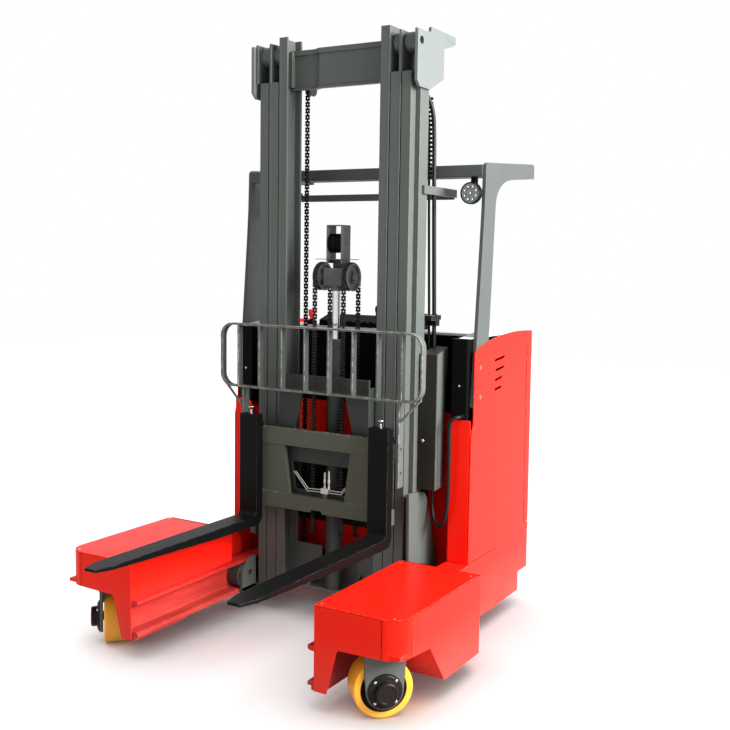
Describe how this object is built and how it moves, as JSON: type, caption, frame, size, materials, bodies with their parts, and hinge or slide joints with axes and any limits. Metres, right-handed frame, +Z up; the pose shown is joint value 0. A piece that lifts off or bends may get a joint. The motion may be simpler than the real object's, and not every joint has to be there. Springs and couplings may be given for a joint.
{
  "type": "multidirectional forklift",
  "caption": "Stand-on electric reach truck with steered load wheels, a triplex mast on a reach carriage, tilting forks, a load backrest and an overhead guard.",
  "frame": {"origin": "centre of the truck's outline on the ground", "axes": "+X to the truck's left (the right of the picture), -Y along the forks, +Z up"},
  "size_m": [1.816, 2.136, 2.94],
  "materials": {
    "red_paint": "smooth gloss bright red paint",
    "mast_paint": "satin dark grey paint",
    "black_paint": "satin black paint",
    "bright_steel": "bare bright steel",
    "oiled_chain": "oiled leaf chain",
    "black_rubber": "matt black rubber",
    "yellow_tyre": "yellow-orange polyurethane",
    "dark_hub": "dark painted casting",
    "black_plastic": "moulded black plastic"
  },
  "bodies": {
    "chassis": {"outrigger_left": "red_paint", "outrigger_right": "red_paint", "chassis_frame": "red_paint", "front_wall": "red_paint", "side_panel_left": "red_paint", "side_panel_right": "red_paint", "console_cover": "black_plastic", "console_top": "black_plastic", "kick_panel": "black_paint", "floor_mat": "black_rubber", "battery_block": "black_paint", "drive_cover": "red_paint", "overhead_guard": "mast_paint", "work_lamp": "black_plastic", "reach_cylinder": "black_paint"},
    "load_steer_left": {"load_yoke_left": "mast_paint"},
    "load_steer_right": {"load_yoke_right": "mast_paint"},
    "load_wheel_left": {"load_tyre_left": "yellow_tyre", "load_hub_left": "dark_hub"},
    "load_wheel_right": {"load_tyre_right": "yellow_tyre", "load_hub_right": "dark_hub"},
    "drive_steer": {"drive_yoke": "black_paint"},
    "drive_roller": {"drive_wheel": "black_rubber"},
    "caster_swivel": {"caster_fork": "bright_steel"},
    "caster_roller": {"caster_wheel": "yellow_tyre"},
    "reach": {"reach_carriage": "mast_paint", "mast_outer_left": "mast_paint", "mast_outer_right": "mast_paint", "mast_outer_bracket": "mast_paint", "mast_outer_yoke": "mast_paint", "lift_cylinder_left": "black_paint", "lift_cylinder_right": "black_paint", "hose_cover": "mast_paint", "mast_hoses": "black_rubber", "hose_loop": "black_rubber"},
    "mast_middle": {"mast_middle_left": "mast_paint", "mast_middle_right": "mast_paint", "mast_middle_head": "mast_paint", "mast_middle_foot": "mast_paint", "lift_chain_left": "oiled_chain", "lift_chain_right": "oiled_chain"},
    "mast_inner": {"mast_inner_left": "mast_paint", "mast_inner_right": "mast_paint", "mast_inner_head": "mast_paint", "mast_inner_foot": "mast_paint", "free_lift_cylinder": "mast_paint"},
    "crosshead": {"crosshead": "mast_paint", "free_lift_chain_left": "oiled_chain", "free_lift_chain_right": "oiled_chain"},
    "lift_carriage": {"lift_carriage": "mast_paint"},
    "fork_carriage": {"fork_carriage": "mast_paint", "fork_left": "black_paint", "fork_right": "black_paint", "load_backrest": "mast_paint", "tilt_pipes": "bright_steel"}
  },
  "joints": [
    {"name": "load_steer_left", "type": "hinge", "parent": "chassis", "child": "load_steer_left", "pos_m": [0.734, -0.5585, 0.3], "axis": [0, 0, 1], "range_deg": [-45, 45]},
    {"name": "load_wheel_left", "type": "hinge", "parent": "load_steer_left", "child": "load_wheel_left", "pos_m": [0.734, -0.5585, 0.125], "axis": [0.7071, -0.7071, 0], "continuous": true},
    {"name": "load_steer_right", "type": "hinge", "parent": "chassis", "child": "load_steer_right", "pos_m": [-0.734, -0.5585, 0.3], "axis": [0, 0, 1], "range_deg": [-45, 45]},
    {"name": "load_wheel_right", "type": "hinge", "parent": "load_steer_right", "child": "load_wheel_right", "pos_m": [-0.734, -0.5585, 0.125], "axis": [-0.7071, -0.7071, 0], "continuous": true},
    {"name": "drive_steer", "type": "hinge", "parent": "chassis", "child": "drive_steer", "pos_m": [-0.4, 0.855, 0.38], "axis": [0, 0, 1], "range_deg": [-90, 90]},
    {"name": "drive_wheel", "type": "hinge", "parent": "drive_steer", "child": "drive_roller", "pos_m": [-0.4, 0.855, 0.15], "axis": [1, 0, 0], "continuous": true},
    {"name": "caster_swivel", "type": "hinge", "parent": "chassis", "child": "caster_swivel", "pos_m": [0.42, 0.8, 0.22], "axis": [0, 0, 1], "continuous": true},
    {"name": "caster_wheel", "type": "hinge", "parent": "caster_swivel", "child": "caster_roller", "pos_m": [0.42, 0.845, 0.09], "axis": [1, 0, 0], "continuous": true},
    {"name": "reach", "type": "slide", "parent": "chassis", "child": "reach", "axis": [0, -1, 0], "range_m": [0, 0.55]},
    {"name": "mast_middle", "type": "slide", "parent": "reach", "child": "mast_middle", "axis": [0, 0, 1], "range_m": [0, 1.75]},
    {"name": "mast_inner", "type": "slide", "parent": "mast_middle", "child": "mast_inner", "axis": [0, 0, 1], "range_m": [0, 1.75]},
    {"name": "lift_carriage", "type": "slide", "parent": "mast_inner", "child": "lift_carriage", "axis": [0, 0, 1], "range_m": [-0.48, 1.2]},
    {"name": "crosshead", "type": "slide", "parent": "mast_inner", "child": "crosshead", "axis": [0, 0, 1], "range_m": [-0.24, 0.6]},
    {"name": "fork_tilt", "type": "hinge", "parent": "lift_carriage", "child": "fork_carriage", "pos_m": [0, 0.094, 0.96], "axis": [1, 0, 0], "range_deg": [-4, 2]}
  ],
  "couplings": [
    {"joint": "mast_inner", "follows": "mast_middle", "ratio": 1},
    {"joint": "crosshead", "follows": "lift_carriage", "ratio": 0.5}
  ]
}
